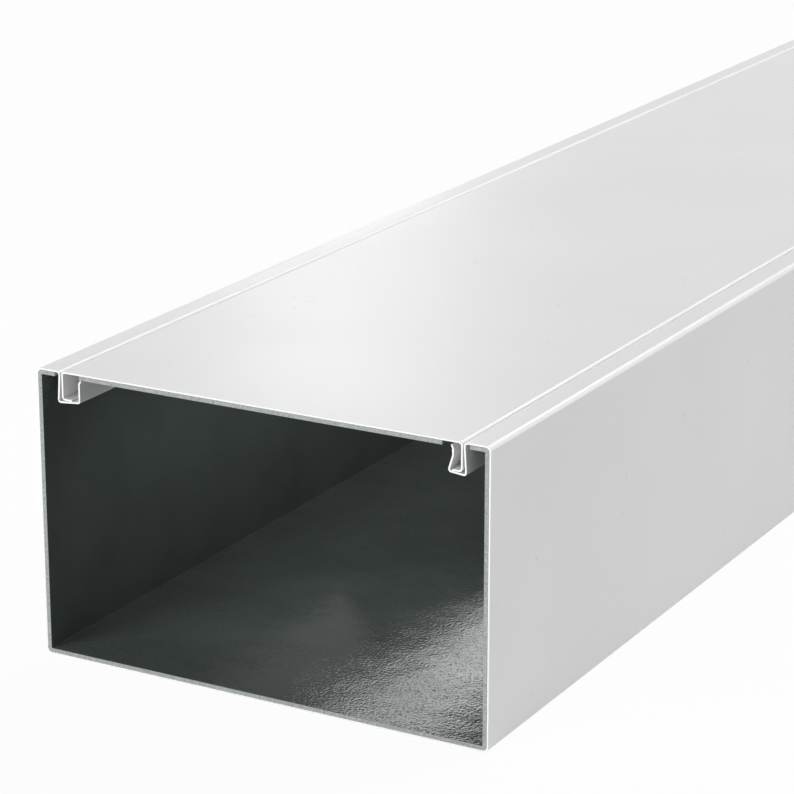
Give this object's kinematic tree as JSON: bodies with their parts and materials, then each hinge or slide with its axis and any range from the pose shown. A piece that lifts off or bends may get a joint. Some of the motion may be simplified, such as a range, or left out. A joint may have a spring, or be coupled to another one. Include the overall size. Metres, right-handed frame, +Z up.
{
  "type": "fire-rated cable trunking",
  "caption": "Rectangular painted sheet-steel cable trunking with an inner fire lining and a lined lid that snaps into edge grooves.",
  "frame": {"origin": "middle of the floor's underside, halfway along the length", "axes": "+X across the width towards the snap groove, +Y along the length away from the end seen in the picture, +Z up towards the lid"},
  "size_m": [0.2, 2, 0.12],
  "materials": {
    "white_paint": "satin",
    "fire_lining": "satin"
  },
  "bodies": {
    "root": {"trunking_base": "white_paint", "base_lining": "fire_lining", "lid": "white_paint", "lid_lining": "fire_lining"}
  },
  "joints": []
}
